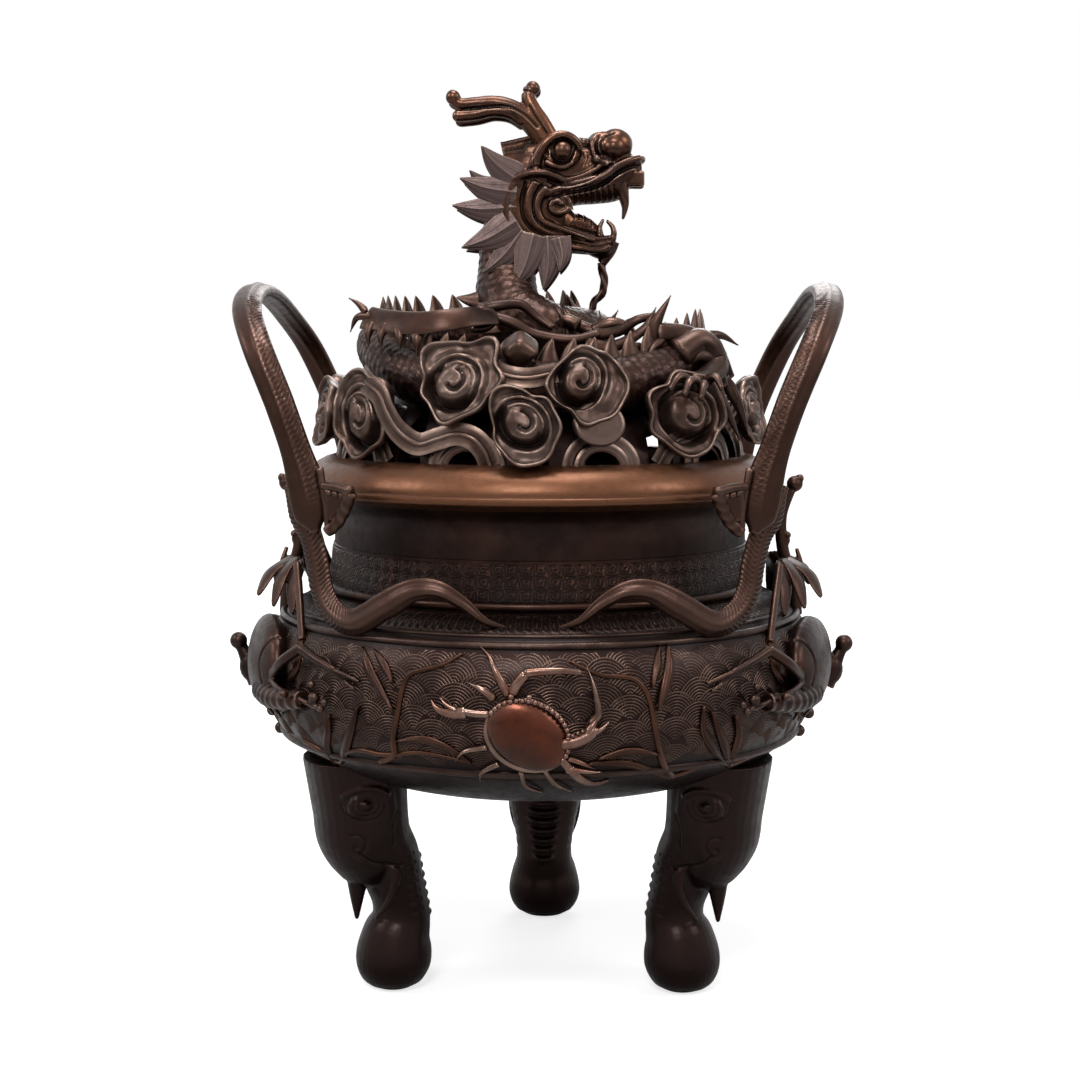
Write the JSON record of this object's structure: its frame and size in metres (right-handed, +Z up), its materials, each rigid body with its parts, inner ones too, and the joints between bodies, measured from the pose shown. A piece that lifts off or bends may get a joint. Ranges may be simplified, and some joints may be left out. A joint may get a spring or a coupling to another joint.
{
  "type": "tripod incense burner",
  "caption": "Tripod bronze incense burner with elephant-head legs, loop handles and a lift-off openwork lid topped by a coiled dragon.",
  "frame": {"origin": "on the vessel axis at the level of the feet, under the centre of the object", "axes": "+Z up, -Y towards the crab on the front of the belly, +X to the right of a viewer in front, through the right handle"},
  "size_m": [0.3484, 0.3064, 0.484],
  "materials": {
    "belly_bronze": "dark red-brown patina over chased wave ground",
    "neck_bronze": "red-brown patina, polished lip",
    "nut_bronze": "unpolished dark bronze",
    "leg_bronze": "dark brown patina",
    "handle_bronze": "brown patina with rubbed edges",
    "crab_bronze": "rubbed warm brown patina",
    "crayfish_bronze": "brown patina",
    "lid_bronze": "brown patina with rubbed rims",
    "head_bronze": "rubbed brown patina",
    "dragon_bronze": "red-brown patina"
  },
  "bodies": {
    "vessel": {"bowl": "belly_bronze", "neck": "neck_bronze", "leg_left": "leg_bronze", "leg_right": "leg_bronze", "leg_back": "leg_bronze", "leg_nut_left": "nut_bronze", "leg_nut_right": "nut_bronze", "leg_nut_back": "nut_bronze", "handle_left": "handle_bronze", "handle_right": "handle_bronze", "vine_front_left": "handle_bronze", "vine_back_left": "handle_bronze", "vine_front_right": "handle_bronze", "vine_back_right": "handle_bronze", "clasp_front_left": "handle_bronze", "clasp_back_left": "handle_bronze", "clasp_front_right": "handle_bronze", "clasp_back_right": "handle_bronze", "crab": "crab_bronze", "crayfish_left": "crayfish_bronze", "crayfish_right": "crayfish_bronze", "twig_left": "handle_bronze", "twig_right": "handle_bronze"},
    "lid": {"lid_dome": "lid_bronze", "cloud_01": "lid_bronze", "cloud_02": "lid_bronze", "cloud_03": "lid_bronze", "cloud_04": "lid_bronze", "cloud_05": "lid_bronze", "cloud_06": "lid_bronze", "cloud_07": "lid_bronze", "cloud_08": "lid_bronze", "cloud_09": "lid_bronze", "cloud_10": "lid_bronze", "cloud_11": "lid_bronze", "cloud_12": "lid_bronze", "cloud_13": "lid_bronze", "cloud_14": "lid_bronze", "dragon_body": "dragon_bronze", "dragon_head": "head_bronze", "dragon_jaw": "head_bronze", "dragon_beard": "dragon_bronze", "dragon_mane_near": "dragon_bronze", "dragon_mane_far": "dragon_bronze", "dragon_horn_near": "head_bronze", "dragon_horn_far": "head_bronze"}
  },
  "joints": [
    {"name": "lid_lift", "type": "slide", "parent": "vessel", "child": "lid", "axis": [0, 0, 1], "range_m": [0, 0.15]}
  ]
}
